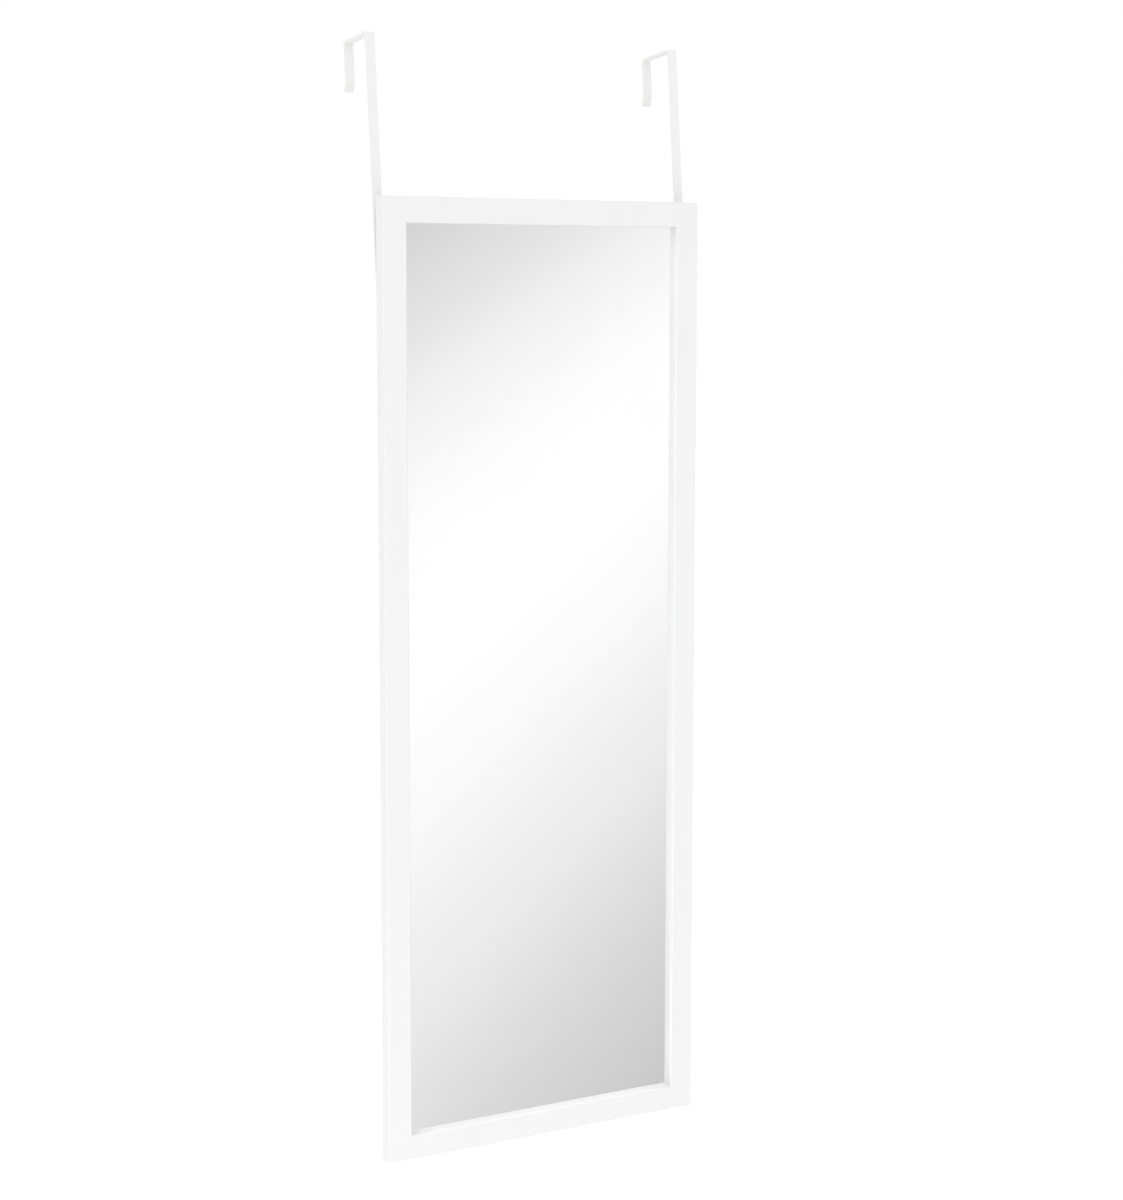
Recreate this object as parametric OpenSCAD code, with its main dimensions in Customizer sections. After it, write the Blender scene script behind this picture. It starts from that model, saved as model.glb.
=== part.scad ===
// Over the door mirror: a mitred white frame round a float glass mirror, hung on two
// bent steel straps that hook over the top edge of a door.
// Frame axes: X to the right, Y from the mirror's face towards the door, Z up.
// The origin lies midway between the two hooks, on the underside of their bars,
// where the top edge of the door bears. Millimetres.

/* [Frame] */
// Width of the frame over its outer edges
frame_w = 350; // [250:1:600]
// Height of the frame over its outer edges
frame_h = 950; // [700:1:1600]
// Width of the moulding, from its outer edge to its sight edge
rail_w = 25; // [23:0.5:50]
// Depth of the moulding, from its front to its back
rail_t = 16; // [15.5:0.5:30]
// Rounding of the outer front edge
outer_r = 1.5; // [0.3:0.1:3]
// Rounding of the sight edge
sight_r = 1.2; // [0.3:0.1:3]
// Rounding of the outer back edge
back_r = 0.6; // [0.2:0.1:2]
// Distance that the glass lies behind the front of the frame
reveal = 7; // [4:0.1:9]
// Width of the rebate that takes the glass and the backing board
rebate_w = 6; // [4:0.5:8]

/* [Glass and backing] */
// Thickness of the mirror glass
glass_t = 3; // [2:0.1:3.5]
// Width of the ground bevel round the edges of the glass
glass_seam = 0.3; // [0.1:0.05:0.8]
// Gap between the edge of the glass and the rebate's wall
glass_gap = 1; // [0.5:0.1:2]
// Thickness of the backing board
board_t = 2.5; // [1.5:0.1:2.9]
// Gap between the edge of the backing board and the rebate's wall
board_gap = 0.5; // [0.3:0.1:1.5]
// Rounding of the backing board's corners
board_r = 3; // [1:0.5:8]

/* [Retaining tabs] */
// Thickness of a retaining tab
tab_t = 0.5; // [0.3:0.1:0.9]
// Width of a retaining tab
tab_w = 8; // [5:0.5:14]
// Length of a tab over the backing board
tab_hold = 11; // [7:0.5:20]
// Depth that a tab is driven into the moulding
tab_drive = 5; // [3:0.5:7]
// Number of tabs along each stile
stile_tabs = 5; // [2:1:8]
// Number of tabs along each rail
rail_tabs = 2; // [1:1:4]

/* [Corner nails] */
// Length of one leg of a V nail
nail_leg = 5; // [3:0.5:6]
// Thickness of a V nail's steel
nail_t = 0.5; // [0.3:0.1:0.8]
// Depth that a V nail is driven in from the back of the frame
nail_depth = 7; // [4:0.5:10]
// Distance between the two V nails of a corner, along the rail
nail_pitch = 6; // [5.5:0.5:7]
// Distance between the inner V nail and the rebate
nail_margin = 2; // [1:0.5:4]

/* [Hooks] */
// Width of the steel strap
strap_w = 9.5; // [9:0.5:12]
// Thickness of the steel strap
strap_t = 2; // [1:0.1:3]
// Distance between the strap's outer edge and the frame's outer edge
strap_inset = 1.8; // [0:0.1:4]
// Angle that the strap is bent back, away from the frame
strap_lean = 5.5; // [3:0.5:10]
// Distance between the strap and the frame's back, level with the frame's top
standoff = 11; // [4:0.5:15]
// Length of the strap above the frame's top, along the strap
strap_rise = 158; // [80:1:250]
// Space between the strap and the tongue, which the door goes into
door_gap = 50; // [36:0.5:60]
// Inside radius of the hook's two square bends
bend_r = 2; // [1:0.1:6]
// Length of the tongue's straight part, from the top of the hook
tongue_l = 38; // [20:1:70]
// Length of the tongue's flared end
flare_l = 12; // [4:0.5:20]
// Angle that the tongue's end is flared, away from the door
flare_angle = 20; // [5:1:30]
// Rounding of the corners of the strap's foot
foot_r = 2; // [0.5:0.5:4]

/* [Height adjustment] */
// Travel of a hook along its stile
travel = 30; // [10:1:35]
// Distance between the two screws of a hook
screw_pitch = 50; // [46:1:70]
// Steel left beyond the ends of the strap's slots
slot_end = 6; // [4:0.5:12]
// Diameter of a screw's plain shank
shank_d = 4; // [3.6:0.1:4.2]
// Clearance on each side of the shank in the strap's slot
slot_clear = 0.15; // [0.05:0.05:0.3]
// Clearance on each side of the shank in the washer
washer_clear = 0.1; // [0.05:0.05:0.3]
// Outer diameter of the screw's thread
thread_d = 3.2; // [2.5:0.1:3.5]
// Clearance on each side of the thread in its pilot hole
pilot_clear = 0.05; // [0.02:0.01:0.1]
// Length of the screw inside the stile
thread_l = 12; // [6:0.5:13]
// Diameter of the screw's pan head
head_d = 7.4; // [6:0.1:8.5]
// Height of the screw's pan head
head_h = 2.6; // [2:0.1:3.5]
// Width of the cross recess in the screw's head
recess_w = 3.8; // [2.5:0.1:4.2]
// Outer diameter of a washer
washer_d = 9; // [8.6:0.1:11]
// Thickness of a washer
washer_t = 0.8; // [0.5:0.1:1.5]

/* [Bumpers] */
// Diameter of a rubber bumper
bumper_d = 12; // [8:0.5:16]
// Height of a bumper
bumper_h = 4; // [2:0.5:8]
// Rounding of a bumper's rim
bumper_r = 1.2; // [0.5:0.1:1.8]
// Distance of a bumper's centre from the bottom of the frame
bumper_up = 26; // [24:1:80]

/* [Hidden] */
$fn = 64;
// How far a cutter runs past the face that it cuts
over = 1;
half_w = frame_w / 2;
half_h = frame_h / 2;
// Solid width of the moulding beside its rebate
wall_w = rail_w - rebate_w;
// Depths of the layers, from the front of the frame
glass_back = reveal + glass_t;
board_back = glass_back + board_t;
strap_back = rail_t + strap_t;
washer_back = strap_back + washer_t;
// The hook: its bend line lies where the lean starts, to reach the standoff at the frame's top
bend_z = -standoff / tan(strap_lean);
// How far the leg and the foot run past the bend line before they are trimmed
lap = 5;
leg_l = strap_rise + standoff / sin(strap_lean) + lap;
strap_x = half_w - strap_inset - strap_w / 2;
// The slots and the screws, which stand at the lower ends of the slots
slot_w = shank_d + 2 * slot_clear;
upper_screw_z = bend_z - slot_end - slot_w / 2 - travel;
lower_screw_z = upper_screw_z - screw_pitch;
foot_z = lower_screw_z - slot_w / 2 - slot_end;
// The door's bearing point, in a frame of reference with y = 0 on the front and z = 0 on the top
seat_y = rail_t + standoff + (strap_rise - strap_t) * sin(strap_lean)
  + (strap_t + door_gap / 2) * cos(strap_lean);
seat_z = (strap_rise - strap_t) * cos(strap_lean) - (strap_t + door_gap / 2) * sin(strap_lean);
nail_at = wall_w - nail_margin - nail_leg;
recess_t = 0.9;
recess_depth = 1.5;
head_dome = 0.9;

// ---- Placing ----

// Moves what is drawn from the frame's top and front to the part's own origin
module hung() {
  translate([0, -seat_y, -seat_z]) children();
}

// The same shape on the right-hand side
module on_right() {
  mirror([1, 0, 0]) children();
}

// The same shape at the bottom of the frame
module at_bottom() {
  translate([0, 0, -frame_h]) mirror([0, 0, 1]) children();
}

// A flat outline in X and Z, from depth y to y + t
module sheet(y, t) {
  translate([0, y + t, 0]) rotate([90, 0, 0]) linear_extrude(t) children();
}

// A turned piece with its axis along Y, from depth y backwards
module turned(y) {
  translate([0, y, 0]) rotate([-90, 0, 0]) children();
}

// ---- Moulding ----

// What a rounded edge takes off a square corner at the origin
module edge_cut(r) {
  difference() {
    translate([-over, -over]) square(r + over);
    translate([r, r]) circle(r);
  }
}

// Cross-section: x from the outer edge to the sight edge, y from the front to the back
module moulding_section() {
  difference() {
    square([rail_w, rail_t]);
    edge_cut(outer_r);
    translate([rail_w, 0]) mirror([1, 0]) edge_cut(sight_r);
    translate([0, rail_t]) mirror([0, 1]) edge_cut(back_r);
    translate([wall_w, reveal]) square([rebate_w + over, rail_t]);
  }
}

// One mitred member with its outer edge on x = 0, centred on z = 0
module member(l) {
  slope_end = l / 2 + over;
  slope_in = l / 2 - rail_w - over;
  intersection() {
    linear_extrude(l, center = true) moulding_section();
    sheet(-over, rail_t + 2 * over)
      polygon([
        [-over, -slope_end], [rail_w + over, -slope_in],
        [rail_w + over, slope_in], [-over, slope_end]
      ]);
  }
}

// ---- Corner nails: two V nails across the top left mitre, flush with the back ----

module corner_nails() {
  for (i = [0, 1]) {
    at = nail_at - i * nail_pitch;
    translate([-half_w + at, 0, -at]) sheet(rail_t - nail_depth, nail_depth) {
      translate([0, -nail_t]) square([nail_leg, nail_t]);
      translate([0, -nail_leg]) square([nail_t, nail_leg]);
    }
  }
}

// ---- Retaining tabs ----

// One tab: x = 0 is the rebate's wall, and the pointed end is in the moulding
module tab() {
  tip = tab_w / 4;
  sheet(board_back, tab_t) {
    polygon([
      [-tab_drive, -tip], [-tab_drive + tip, -tab_w / 2], [tab_hold - tab_w / 2, -tab_w / 2],
      [tab_hold - tab_w / 2, tab_w / 2], [-tab_drive + tip, tab_w / 2], [-tab_drive, tip]
    ]);
    translate([tab_hold - tab_w / 2, 0]) circle(tab_w / 2);
  }
}

// The tabs along the left stile
module stile_tab_row() {
  pitch = (frame_h - 2 * wall_w) / stile_tabs;
  for (i = [0 : stile_tabs - 1])
    translate([-half_w + wall_w, 0, -wall_w - (i + 0.5) * pitch]) tab();
}

// The tabs along the top rail
module rail_tab_row() {
  pitch = (frame_w - 2 * wall_w) / rail_tabs;
  for (i = [0 : rail_tabs - 1])
    translate([-half_w + wall_w + (i + 0.5) * pitch, 0, -wall_w]) rotate([0, 90, 0]) tab();
}

// ---- Hooks ----

// What two rounded top corners take off a shape whose top edge runs from x = 0 to x = w
module top_bends(w, r) {
  mirror([0, 1]) edge_cut(r);
  translate([w, 0]) mirror([1, 0]) mirror([0, 1]) edge_cut(r);
}

// The top of a strap seen from its edge: leg, top bar and tongue, bent square. The origin is
// the outer front corner of the top, x runs to the tongue and y runs up the leg.
module strap_top() {
  hook_w = door_gap + 2 * strap_t;
  difference() {
    mirror([0, 1]) square([hook_w, leg_l]);
    top_bends(hook_w, bend_r + strap_t);
    translate([strap_t, -strap_t]) difference() {
      mirror([0, 1]) square([door_gap, leg_l]);
      top_bends(door_gap, bend_r);
    }
    translate([strap_t + over, -tongue_l]) mirror([0, 1]) square([hook_w, leg_l]);
  }
  translate([hook_w - strap_t, -tongue_l])
    rotate(flare_angle) mirror([0, 1]) square([strap_t, flare_l]);
}

// Puts the top of the strap where its rise and its lean bring it
module leaning() {
  translate([rail_t + standoff + strap_rise * sin(strap_lean), strap_rise * cos(strap_lean)])
    rotate(-strap_lean) children();
}

// An outline seen from the strap's edge, made as wide as the strap
module strap_wide() {
  translate([-strap_w / 2, 0, 0]) rotate([90, 0, 90]) linear_extrude(strap_w) children();
}

// The bent strap, centred on x = 0. The foot and the leg both run on past the bend line, and
// each is trimmed by the other's front face.
module strap() {
  foot_l = bend_z + lap - foot_z;
  strap_wide() difference() {
    translate([rail_t, foot_z]) square([strap_t, foot_l]);
    leaning() mirror([1, 0]) mirror([0, 1]) square([lap, leg_l]);
  }
  strap_wide() difference() {
    leaning() strap_top();
    translate([rail_t, foot_z]) mirror([1, 0]) square([lap, foot_l]);
  }
}

// The slot that one screw runs in, with the screw at its lower end at z = 0
module slot() {
  sheet(rail_t - over, strap_t + 2 * over) {
    translate([-slot_w / 2, 0]) square([slot_w, travel]);
    circle(slot_w / 2);
    translate([0, travel]) circle(slot_w / 2);
  }
}

// The left hook: foot, leaning leg, top bar and tongue in one bent strap
module hook() {
  translate([-strap_x, 0, 0]) difference() {
    strap();
    for (z = [upper_screw_z, lower_screw_z]) translate([0, 0, z]) slot();
    translate([0, 0, foot_z]) sheet(rail_t - over, strap_t + 2 * over)
      for (side = [0, 1]) mirror([side, 0]) translate([-strap_w / 2, 0]) edge_cut(foot_r);
  }
}

// ---- Screws and washers ----

// Puts its children on the axes of the left hook's two screws
module at_screws() {
  for (z = [upper_screw_z, lower_screw_z]) translate([-strap_x, 0, z]) children();
}

// The hole in the stile for a screw's thread
module pilot_hole() {
  hole_l = thread_l + over;
  turned(rail_t - thread_l) cylinder(h = hole_l, d = thread_d + 2 * pilot_clear);
}

// A shoulder screw: thread in the stile, plain shank through the slot, domed pan head
module screw() {
  dome_r = (pow(head_d / 2, 2) + pow(head_dome, 2)) / (2 * head_dome);
  turned(rail_t - thread_l) cylinder(h = thread_l, d = thread_d);
  turned(rail_t) cylinder(h = washer_back - rail_t, d = shank_d);
  turned(washer_back) difference() {
    intersection() {
      cylinder(h = head_h, d = head_d);
      translate([0, 0, head_h - dome_r]) sphere(dome_r);
    }
    for (a = [0, 90]) rotate(a)
      translate([-recess_w / 2, -recess_t / 2, head_h - recess_depth])
        cube([recess_w, recess_t, recess_depth + over]);
  }
}

module washer() {
  turned(strap_back) difference() {
    cylinder(h = washer_t, d = washer_d);
    translate([0, 0, -over]) cylinder(h = washer_t + 2 * over, d = shank_d + 2 * washer_clear);
  }
}

// ---- Sub-parts ----

module rail() {
  difference() {
    rotate([0, 90, 0]) member(frame_w);
    corner_nails();
    on_right() corner_nails();
    rail_tab_row();
  }
}

module stile() {
  difference() {
    translate([-half_w, 0, -half_h]) member(frame_h);
    corner_nails();
    at_bottom() corner_nails();
    stile_tab_row();
    at_screws() pilot_hole();
  }
}

module top_rail() {
  color("white") hung() rail();
}

module bottom_rail() {
  color("white") hung() at_bottom() rail();
}

module left_stile() {
  color("white") hung() stile();
}

module right_stile() {
  color("white") hung() on_right() stile();
}

module v_nails_top_left() {
  color("silver") hung() corner_nails();
}

module v_nails_top_right() {
  color("silver") hung() on_right() corner_nails();
}

module v_nails_bottom_left() {
  color("silver") hung() at_bottom() corner_nails();
}

module v_nails_bottom_right() {
  color("silver") hung() at_bottom() on_right() corner_nails();
}

// The glass, with a ground bevel on all its edges
module mirror_glass() {
  glass_hw = half_w - wall_w - glass_gap;
  glass_hh = half_h - wall_w - glass_gap;
  color("gainsboro") hung() translate([0, reveal, -half_h]) intersection() {
    linear_extrude(2 * glass_hh, center = true) glass_section(glass_hw);
    rotate([0, 90, 0]) linear_extrude(2 * glass_hw, center = true) glass_section(glass_hh);
  }
}

// Cross-section of a bevelled sheet of glass with half its width given
module glass_section(hw) {
  polygon([
    [-hw, glass_seam], [-hw + glass_seam, 0], [hw - glass_seam, 0], [hw, glass_seam],
    [hw, glass_t - glass_seam], [hw - glass_seam, glass_t],
    [-hw + glass_seam, glass_t], [-hw, glass_t - glass_seam]
  ]);
}

module backing_board() {
  board_hw = half_w - wall_w - board_gap;
  board_hh = half_h - wall_w - board_gap;
  color("peru") hung() translate([0, 0, -half_h]) sheet(glass_back, board_t) difference() {
    square([2 * board_hw, 2 * board_hh], center = true);
    for (x = [0, 1], z = [0, 1]) mirror([x, 0]) mirror([0, z])
      translate([-board_hw, -board_hh]) edge_cut(board_r);
  }
}

module retaining_tabs_top() {
  color("darkgray") hung() rail_tab_row();
}

module retaining_tabs_bottom() {
  color("darkgray") hung() at_bottom() rail_tab_row();
}

module retaining_tabs_left() {
  color("darkgray") hung() stile_tab_row();
}

module retaining_tabs_right() {
  color("darkgray") hung() on_right() stile_tab_row();
}

module left_hook() {
  color("whitesmoke") hung() hook();
}

module right_hook() {
  color("whitesmoke") hung() on_right() hook();
}

module left_hook_screws() {
  color("silver") hung() at_screws() screw();
}

module right_hook_screws() {
  color("silver") hung() on_right() at_screws() screw();
}

module left_hook_washers() {
  color("silver") hung() at_screws() washer();
}

module right_hook_washers() {
  color("silver") hung() on_right() at_screws() washer();
}

// A soft pad that keeps the foot of the frame off the door
module bumper() {
  translate([-half_w + wall_w / 2, 0, -frame_h + bumper_up]) turned(rail_t)
    rotate_extrude() difference() {
      square([bumper_d / 2, bumper_h]);
      translate([bumper_d / 2, bumper_h]) mirror([1, 0]) mirror([0, 1]) edge_cut(bumper_r);
    }
}

module left_bumper() {
  color("dimgray") hung() bumper();
}

module right_bumper() {
  color("dimgray") hung() on_right() bumper();
}

top_rail();
bottom_rail();
left_stile();
right_stile();
v_nails_top_left();
v_nails_top_right();
v_nails_bottom_left();
v_nails_bottom_right();
mirror_glass();
backing_board();
retaining_tabs_top();
retaining_tabs_bottom();
retaining_tabs_left();
retaining_tabs_right();
left_hook();
right_hook();
left_hook_screws();
right_hook_screws();
left_hook_washers();
right_hook_washers();
left_bumper();
right_bumper();
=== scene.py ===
"""Looks of an over the door mirror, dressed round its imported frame.

Metres, +Z up, +X to the right as the viewer faces the mirror, +Y towards the door.
"""

import math

import bpy
from mathutils import Euler, Matrix, Vector


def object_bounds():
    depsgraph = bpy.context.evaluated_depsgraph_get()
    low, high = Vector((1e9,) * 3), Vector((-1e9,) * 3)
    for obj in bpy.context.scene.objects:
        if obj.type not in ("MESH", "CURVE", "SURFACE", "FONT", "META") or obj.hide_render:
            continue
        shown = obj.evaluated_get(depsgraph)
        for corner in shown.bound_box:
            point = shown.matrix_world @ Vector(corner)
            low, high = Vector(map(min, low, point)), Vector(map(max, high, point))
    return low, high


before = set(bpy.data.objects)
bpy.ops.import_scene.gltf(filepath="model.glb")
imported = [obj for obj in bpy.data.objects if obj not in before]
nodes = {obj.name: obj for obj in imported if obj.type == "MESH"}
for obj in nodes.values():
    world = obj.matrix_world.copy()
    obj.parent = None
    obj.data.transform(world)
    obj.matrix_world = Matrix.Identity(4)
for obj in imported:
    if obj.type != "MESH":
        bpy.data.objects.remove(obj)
cad_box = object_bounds()

MM = 0.001
UP = (0, 0, 1)
LEFT = (-1, 0, 0)

# ---------------------------------------------------------------- camera

# Fitted to the photograph, with more tilt in place of a large shift. Lens and sensor in millimetres.
CAMERA_AT = (-1.0451, -2.0414, -0.2449)
CAMERA_YAW = math.radians(28.315)
CAMERA_PITCH = math.radians(6.243)
CAMERA_ROLL = math.radians(0.083)
CAMERA_LENS = 67.51
CAMERA_SENSOR = 36.0
CAMERA_SHIFT_Y = -0.05


def make_camera():
    """The photograph's viewpoint: left of the mirror, just below its top edge."""
    data = bpy.data.cameras.new("camera")
    data.lens = CAMERA_LENS
    data.sensor_width = CAMERA_SENSOR
    data.shift_y = CAMERA_SHIFT_Y
    camera = bpy.data.objects.new("camera", data)
    bpy.context.scene.collection.objects.link(camera)
    aim = Euler((math.pi / 2 - CAMERA_PITCH, 0, -CAMERA_YAW)).to_matrix()
    roll = Matrix.Rotation(CAMERA_ROLL, 3, "Z")
    camera.matrix_world = Matrix.Translation(CAMERA_AT) @ (aim @ roll).to_4x4()
    bpy.context.scene.camera = camera


# ---------------------------------------------------------------- nodes of a shader tree

# Nearly all of a noise's values lie between these two
NOISE_LOW = 0.3
NOISE_HIGH = 0.7


def add(tree, kind, links=(), **settings):
    """A new shader node: its settings, then its inputs, each a socket to link or a value."""
    node = tree.nodes.new(kind)
    for name, value in settings.items():
        setattr(node, name, value)
    for socket, value in dict(links).items():
        if isinstance(value, bpy.types.NodeSocket):
            tree.links.new(value, node.inputs[socket])
        else:
            node.inputs[socket].default_value = value
    return node


def math_node(tree, operation, first, second=0.0, third=0.0):
    """One step of arithmetic between sockets or numbers."""
    return add(tree, "ShaderNodeMath", {0: first, 1: second, 2: third}, operation=operation).outputs[0]


def place(tree, stretch=(1, 1, 1)):
    """The point on the object in metres, drawn out along each axis by stretch."""
    point = add(tree, "ShaderNodeTexCoord").outputs["Object"]
    scale = [1 / s for s in stretch]
    return add(tree, "ShaderNodeMapping", {"Vector": point, "Scale": scale}).outputs[0]


def noise(tree, size, stretch=(1, 1, 1), detail=3.0, swirl=0.0):
    """Smooth noise with features of about size metres, drawn into threads by swirl."""
    links = {"Vector": place(tree, stretch), "Scale": 1 / size, "Detail": detail, "Distortion": swirl}
    return add(tree, "ShaderNodeTexNoise", links).outputs[0]


def ramp(tree, factor, stops, interpolation="LINEAR"):
    """A ramp of grey levels or colours over a factor."""
    node = add(tree, "ShaderNodeValToRGB", {"Fac": factor})
    band = node.color_ramp
    band.interpolation = interpolation
    while len(band.elements) < len(stops):
        band.elements.new(1.0)
    for element, (at, colour) in zip(band.elements, stops):
        element.position = at
        if isinstance(colour, (int, float)):
            colour = (colour, colour, colour)
        element.color = (*colour, 1.0)
    return node.outputs[0]


def spread(tree, factor, low, high):
    """The middle of a noise's range, stretched from low to high."""
    links = {"Value": factor, "From Min": NOISE_LOW, "From Max": NOISE_HIGH, "To Min": low, "To Max": high}
    return add(tree, "ShaderNodeMapRange", links).outputs[0]


def tinted(tree, factor, colour, change, low=NOISE_LOW, high=NOISE_HIGH):
    """A colour that a noise makes darker at low and lighter at high, by change either way."""
    dark = [c * (1 - change) for c in colour]
    light = [min(c * (1 + change), 1.0) for c in colour]
    return ramp(tree, factor, [(low, dark), (high, light)])


def multiplied(tree, first, second):
    """One colour times another. The Mix node's colours are its inputs 6 and 7 and its output 2."""
    links = {"Factor": 1.0, 6: first, 7: second}
    return add(tree, "ShaderNodeMix", links, data_type="RGBA", blend_type="MULTIPLY").outputs[2]


def bumped(tree, heights, normal=None):
    """Bumps laid over each other: each is a height socket and its depth in metres."""
    for height, depth in heights:
        links = {"Height": height, "Distance": depth, "Strength": 1.0}
        if normal is not None:
            links["Normal"] = normal
        normal = add(tree, "ShaderNodeBump", links).outputs[0]
    return normal


def finish(name, colour, roughness, heights, **constants):
    """A Principled material. colour, roughness and heights are functions of its tree."""
    material = bpy.data.materials.new(name)
    material.use_nodes = True
    tree = material.node_tree
    shader = tree.nodes["Principled BSDF"]
    for socket, value in constants.items():
        shader.inputs[socket.replace("_", " ")].default_value = value
    tree.links.new(colour(tree), shader.inputs["Base Color"])
    tree.links.new(roughness(tree), shader.inputs["Roughness"])
    tree.links.new(bumped(tree, heights(tree)), shader.inputs["Normal"])
    return material


# ---------------------------------------------------------------- materials

WHITE = (0.90, 0.90, 0.90)
SILVER = (0.96, 0.96, 0.96)
HARDBOARD = (0.36, 0.23, 0.13)
NAIL_STEEL = (0.50, 0.50, 0.51)
TAB_STEEL = (0.55, 0.55, 0.56)
ZINC = (0.68, 0.69, 0.71)
RUBBER = (0.62, 0.62, 0.60)

# How many times longer than wide the lines of the moulding and of the rolled steel are
DIE_LINES = 60.0
ROLLING_LINES = 12


def moulding_finish(name, run):
    """Satin white moulding: die lines along the axis of its run, the faintest orange peel all over."""
    lines = tuple(DIE_LINES if axis == run else 1.0 for axis in "XYZ")

    def colour(tree):
        return tinted(tree, noise(tree, 45 * MM), WHITE, 0.006)

    def roughness(tree):
        return spread(tree, noise(tree, 1.2 * MM, lines), 0.36, 0.46)

    def heights(tree):
        peel = noise(tree, 2.5 * MM)
        die_lines = noise(tree, 0.8 * MM, lines, detail=1.0)
        return [(peel, 0.012 * MM), (die_lines, 0.008 * MM)]

    return finish(name, colour, roughness, heights, IOR=1.49)


def powder_coat():
    """White powder coat on the steel straps, with its fine orange peel."""

    def colour(tree):
        return tinted(tree, noise(tree, 12 * MM), WHITE, 0.008)

    def roughness(tree):
        return spread(tree, noise(tree, 3 * MM), 0.32, 0.44)

    def heights(tree):
        peel = noise(tree, 0.9 * MM, detail=1.5)
        drift = noise(tree, 6 * MM)
        return [(drift, 0.02 * MM), (peel, 0.02 * MM)]

    return finish("powder_coat", colour, roughness, heights, Coat_Weight=0.15, Coat_Roughness=0.25)


def hardboard():
    """Brown hardboard, smooth side out: tangled pressed fibres, a cloudy mottle, darker flecks."""

    def colour(tree):
        fibres = noise(tree, 2.5 * MM, detail=5.0, swirl=2.5)
        mottle = noise(tree, 18 * MM, detail=4.0)
        flecks = noise(tree, 0.9 * MM, (2, 1, 1), detail=1.0, swirl=1.0)
        mean = math_node(tree, "MULTIPLY_ADD", mottle, 0.5, math_node(tree, "MULTIPLY", fibres, 0.5))
        brown = tinted(tree, mean, HARDBOARD, 0.18, 0.36, 0.64)
        dots = ramp(tree, flecks, [(0.24, 0.62), (0.34, 1.0)])
        return multiplied(tree, brown, dots)

    def roughness(tree):
        return spread(tree, noise(tree, 8 * MM), 0.48, 0.66)

    def heights(tree):
        return [(noise(tree, 2.5 * MM, detail=5.0, swirl=2.5), 0.06 * MM)]

    return finish("hardboard", colour, roughness, heights)


def bright_steel(name, steel, lines=(1, 1, 1)):
    """Bright strip or plated steel, with its fine lines drawn out along each axis by lines."""

    def colour(tree):
        return tinted(tree, noise(tree, 2 * MM), steel, 0.03)

    def roughness(tree):
        return spread(tree, noise(tree, 0.3 * MM, lines), 0.20, 0.34)

    def heights(tree):
        return [(noise(tree, 0.15 * MM, lines), 0.004 * MM)]

    return finish(name, colour, roughness, heights, Metallic=1.0)


def rubber():
    """Pale grey rubber, matt, with a dusty mottle."""

    def colour(tree):
        return tinted(tree, noise(tree, 3 * MM), RUBBER, 0.03)

    def roughness(tree):
        return spread(tree, noise(tree, 1 * MM), 0.62, 0.78)

    def heights(tree):
        return [(noise(tree, 0.4 * MM), 0.02 * MM)]

    return finish("rubber", colour, roughness, heights, Specular_IOR_Level=0.4)


def silvered_glass():
    """Silver seen through 3 mm of clear glass, flat enough for a true reflection."""

    def colour(tree):
        return tinted(tree, noise(tree, 90 * MM), SILVER, 0.002)

    def roughness(tree):
        return spread(tree, noise(tree, 60 * MM), 0.0, 0.008)

    def heights(tree):
        return [(noise(tree, 250 * MM, detail=0.0), 0.002 * MM)]

    return finish("silvered_glass", colour, roughness, heights, Metallic=1.0)


def dress(name, material):
    """Gives a node its one material."""
    mesh = nodes[name].data
    mesh.materials.clear()
    mesh.materials.append(material)


# How far the sharp edges of each kind of node are rounded
EDGES = {
    0.50 * MM: ("left_bumper", "right_bumper"),
    0.20 * MM: ("left_hook", "right_hook", "backing_board"),
    0.15 * MM: ("top_rail", "bottom_rail", "left_stile", "right_stile"),
    0.12 * MM: ("left_hook_washers", "right_hook_washers"),
    0.08 * MM: (
        "retaining_tabs_top", "retaining_tabs_bottom", "retaining_tabs_left", "retaining_tabs_right",
    ),
    0.05 * MM: ("left_hook_screws", "right_hook_screws"),
}
# What counts as one point, as one flat side and as a sharp edge, and the faces across a rounded edge
SAME_POINT = 0.001 * MM
SAME_PLANE = math.radians(0.5)
SHARP = math.radians(35)
EDGE_FACES = 3


def round_edges(name, width):
    """Rounds the sharp edges of a node's mesh, after joining its faces into whole flat sides."""
    piece = nodes[name]
    weld = piece.modifiers.new("weld", "WELD")
    weld.merge_threshold = SAME_POINT
    sides = piece.modifiers.new("sides", "DECIMATE")
    sides.decimate_type = "DISSOLVE"
    sides.angle_limit = SAME_PLANE
    bevel = piece.modifiers.new("bevel", "BEVEL")
    bevel.width = width
    bevel.segments = EDGE_FACES
    bevel.limit_method = "ANGLE"
    bevel.angle_limit = SHARP
    bevel.use_clamp_overlap = False
    bevel.harden_normals = True


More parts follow.
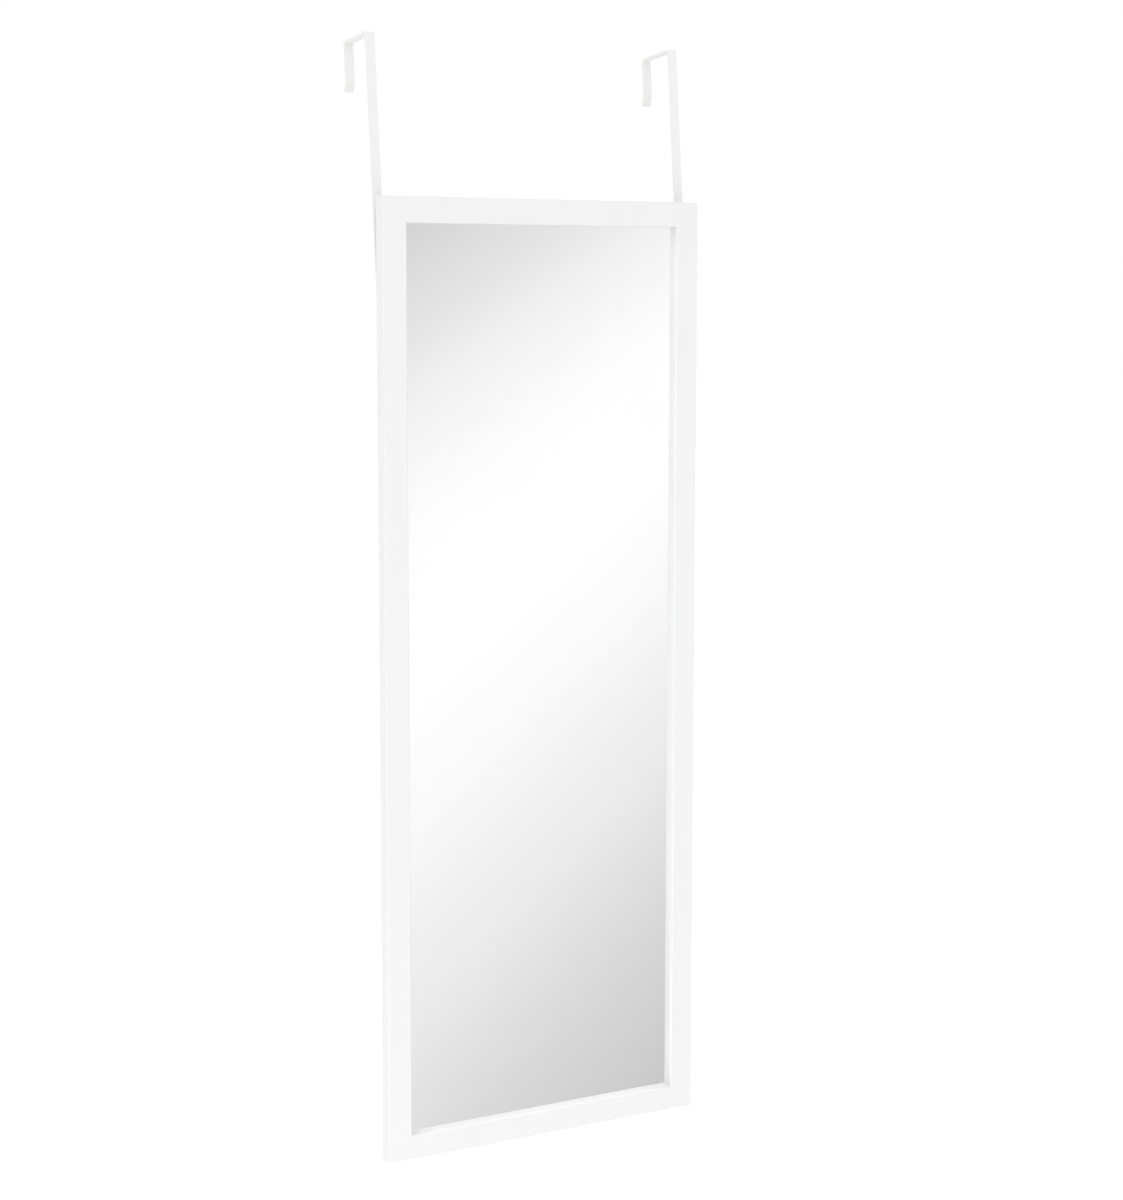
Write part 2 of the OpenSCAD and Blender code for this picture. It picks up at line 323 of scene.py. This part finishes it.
def dress_nodes():
    """Gives every node its finish, and most of them rounded edges."""
    rail = moulding_finish("moulding_rail", "X")
    stile = moulding_finish("moulding_stile", "Z")
    coat = powder_coat()
    nail = bright_steel("nail_strip", NAIL_STEEL, (1, ROLLING_LINES, 1))
    tab = bright_steel("tab_strip", TAB_STEEL, (ROLLING_LINES, 1, 1))
    zinc = bright_steel("zinc_plate", ZINC)
    finishes = {
        "top_rail": rail,
        "bottom_rail": rail,
        "left_stile": stile,
        "right_stile": stile,
        "mirror_glass": silvered_glass(),
        "backing_board": hardboard(),
    }
    bumper = rubber()
    for side in ("left", "right"):
        finishes[f"{side}_hook"] = coat
        finishes[f"{side}_hook_screws"] = zinc
        finishes[f"{side}_hook_washers"] = zinc
        finishes[f"{side}_bumper"] = bumper
        finishes[f"v_nails_top_{side}"] = nail
        finishes[f"v_nails_bottom_{side}"] = nail
    for side in ("top", "bottom", "left", "right"):
        finishes[f"retaining_tabs_{side}"] = tab
    for name, material in finishes.items():
        dress(name, material)
    for width, names in EDGES.items():
        for name in names:
            round_edges(name, width)


# ---------------------------------------------------------------- floor and world

# The floor glows by itself, and a little more where the camera sees it
FLOOR_DROP = 2.0
FLOOR_WIDTH = 40.0
FLOOR_COLOUR = (0.9, 0.9, 0.9)
FLOOR_ROUGHNESS = 0.9
FLOOR_GLOW = 0.18
FLOOR_LIFT = 0.05

# The light from the studio's walls: even, stronger from the front left and from overhead.
# Below the horizon it stands in for the floor, in the light that the mirror throws onto the frame.
AMBIENT = 0.44
KEY = 0.37
KEY_TOWARDS = (-0.65, -0.70, 0.30)
OVERHEAD = 0.55
BELOW = 1.0

# The studio, as the mirror shows it to the camera: grey and white bands that turn about a slanting
# axis. They repeat every BAND_TURN degrees, and start at BAND_START degrees from the middle.
BAND_AXIS = (4.045, -1.981, 1.938)
BAND_MIDDLE = (1.0451, -1.981, -0.383)
BAND_TURN = 36.0
BAND_START = -19.0
BAND_GAIN = 1.04
BAND_TONES = [
    (0.00, 0.58), (0.10, 0.66), (0.22, 0.83), (0.33, 0.97), (0.43, 1.0), (0.48, 0.99),
    (0.59, 0.90), (0.70, 0.77), (0.84, 0.60), (0.92, 0.56), (1.00, 0.58),
]


def is_seen(tree):
    """1 for what the camera sees straight or through something clear, else 0."""
    path = add(tree, "ShaderNodeLightPath")
    return math_node(tree, "MAXIMUM", path.outputs["Is Camera Ray"], path.outputs["Is Transmission Ray"])


def first_reflection(tree):
    """1 for what the camera sees in a shiny surface, else 0."""
    path = add(tree, "ShaderNodeLightPath")
    direct = math_node(tree, "LESS_THAN", path.outputs["Diffuse Depth"], 0.5)
    return math_node(tree, "MULTIPLY", path.outputs["Is Glossy Ray"], direct)


def make_floor():
    """A plain pale floor, a door's height below the edge that the hooks hang on."""
    half = FLOOR_WIDTH / 2
    mesh = bpy.data.meshes.new("floor")
    corners = [(-half, -half), (half, -half), (half, half), (-half, half)]
    mesh.from_pydata([(x, y, -FLOOR_DROP) for x, y in corners], [], [(0, 1, 2, 3)])
    floor = bpy.data.objects.new("floor", mesh)
    bpy.context.scene.collection.objects.link(floor)
    material = bpy.data.materials.new("floor")
    material.use_nodes = True
    tree = material.node_tree
    shader = tree.nodes["Principled BSDF"]
    shader.inputs["Base Color"].default_value = (*FLOOR_COLOUR, 1)
    shader.inputs["Roughness"].default_value = FLOOR_ROUGHNESS
    shader.inputs["Emission Color"].default_value = (1, 1, 1, 1)
    glow = math_node(tree, "MULTIPLY_ADD", is_seen(tree), FLOOR_LIFT, FLOOR_GLOW)
    tree.links.new(glow, shader.inputs["Emission Strength"])
    mesh.materials.append(material)
    floor.visible_glossy = False


def along(tree, direction, axis):
    """How far a direction reaches along an axis."""
    links = {0: direction, 1: axis}
    return add(tree, "ShaderNodeVectorMath", links, operation="DOT_PRODUCT").outputs["Value"]


def sky_tones(tree, direction):
    """The light from each direction: even, with a soft bump towards the key and the ceiling."""
    total = AMBIENT
    for strength, towards in ((KEY, Vector(KEY_TOWARDS).normalized()), (OVERHEAD, UP)):
        bump = math_node(tree, "MAXIMUM", along(tree, direction, towards), 0.0)
        total = math_node(tree, "MULTIPLY_ADD", bump, strength, total)
    below = math_node(tree, "LESS_THAN", along(tree, direction, UP), 0.0)
    links = {"Factor": below, "A": total, "B": BELOW}
    return add(tree, "ShaderNodeMix", links).outputs[0]


def band_tones(tree, direction):
    """The tone of the studio in each direction: it depends on the turn about the slanting axis."""
    axis = Vector(BAND_AXIS).normalized()
    middle = Vector(BAND_MIDDLE)
    middle = (middle - axis * middle.dot(axis)).normalized()
    across = axis.cross(middle)
    turn = math_node(tree, "ARCTAN2", along(tree, direction, across), along(tree, direction, middle))
    from_start = math_node(tree, "SUBTRACT", turn, math.radians(BAND_START))
    rounds = math_node(tree, "DIVIDE", from_start, math.radians(BAND_TURN))
    return ramp(tree, math_node(tree, "FRACT", rounds), BAND_TONES, "CARDINAL")


def lit(tree, colour, strength):
    """A background. Its colour and its strength are each a socket or a value."""
    return add(tree, "ShaderNodeBackground", {"Color": colour, "Strength": strength}).outputs[0]


def either(tree, factor, first, second):
    """The first background where the factor is 0, the second where it is 1."""
    return add(tree, "ShaderNodeMixShader", {0: factor, 1: first, 2: second}).outputs[0]


def make_world():
    """White to the camera, soft grey bands in the mirror, the studio's light on the object."""
    world = bpy.data.worlds.new("studio")
    bpy.context.scene.world = world
    world.use_nodes = True
    tree = world.node_tree
    white = (1, 1, 1, 1)
    direction = add(tree, "ShaderNodeTexCoord").outputs["Generated"]
    sky = lit(tree, white, sky_tones(tree, direction))
    bands = lit(tree, band_tones(tree, direction), BAND_GAIN)
    whole = either(tree, first_reflection(tree), sky, bands)
    whole = either(tree, is_seen(tree), whole, lit(tree, white, 1.0))
    tree.links.new(whole, tree.nodes["World Output"].inputs["Surface"])


# ---------------------------------------------------------------- lamps

# A very soft sun from the upper front left, and a square lamp that faces the lower left corner
SUN = 0.12
SUN_TOWARDS = (-0.60, -0.66, 0.45)
SUN_SOFTNESS = math.radians(70)
FILL = 1.6
FILL_AT = (-0.95, -0.95, -1.55)
FILL_SIZE = 0.9

# Two thin strips of light with grids, in the recess before the glass. One faces the bottom rail's
# inner wall, which looks up, and one the right stile's, which looks left. Each is its reach away.
RECESS_UP = 0.0065
RECESS_UP_SIZE = (0.28, 0.004)
RECESS_UP_REACH = 0.30
RECESS_LEFT = 0.0095
RECESS_LEFT_SIZE = (0.004, 0.88)
RECESS_LEFT_REACH = 0.25
RECESS_SPREAD = math.radians(12)


def add_lamp(name, kind, energy, towards):
    """A lamp that shines from the direction towards, and shows neither by itself nor in the mirror."""
    data = bpy.data.lights.new(name, kind)
    data.energy = energy
    lamp = bpy.data.objects.new(name, data)
    lamp.rotation_euler = Vector(towards).to_track_quat("Z", "Y").to_euler()
    lamp.visible_camera = False
    lamp.visible_glossy = False
    bpy.context.scene.collection.objects.link(lamp)
    return lamp


def add_strip(name, energy, towards, size, location):
    """A thin lamp for the recess, whose grid keeps its light off the other walls."""
    strip = add_lamp(name, "AREA", energy, towards)
    strip.location = location
    strip.data.shape = "RECTANGLE"
    strip.data.size, strip.data.size_y = size
    strip.data.spread = RECESS_SPREAD


def box_of(name):
    """The lowest and the highest corner of a node."""
    piece = nodes[name]
    corners = [piece.matrix_world @ Vector(corner) for corner in piece.bound_box]
    return [Vector(pick(corner[axis] for corner in corners) for axis in range(3)) for pick in (min, max)]


def light_recess():
    """Lights the bottom and the right wall of the recess, each square on."""
    rail, stile, glass = (box_of(name) for name in ("bottom_rail", "right_stile", "mirror_glass"))
    bottom_wall = rail[1].z
    right_wall = stile[0].x
    depth = (rail[0].y + glass[0].y) / 2
    height = (stile[0].z + stile[1].z) / 2
    above = (0, depth, bottom_wall + RECESS_UP_REACH)
    beside = (right_wall - RECESS_LEFT_REACH, depth, height)
    add_strip("recess_up", RECESS_UP, UP, RECESS_UP_SIZE, above)
    add_strip("recess_left", RECESS_LEFT, LEFT, RECESS_LEFT_SIZE, beside)


def make_lamps():
    """The sun, the fill that faces the lower left corner, and the strips in the recess."""
    sun = add_lamp("sun", "SUN", SUN, SUN_TOWARDS)
    sun.data.angle = SUN_SOFTNESS
    corner = Vector(cad_box[0])
    fill = add_lamp("fill", "AREA", FILL, Vector(FILL_AT) - corner)
    fill.location = FILL_AT
    fill.data.size = FILL_SIZE
    light_recess()


# ---------------------------------------------------------------- the scene

make_camera()
dress_nodes()
make_floor()
make_world()
make_lamps()
bpy.context.scene.view_settings.view_transform = "Standard"
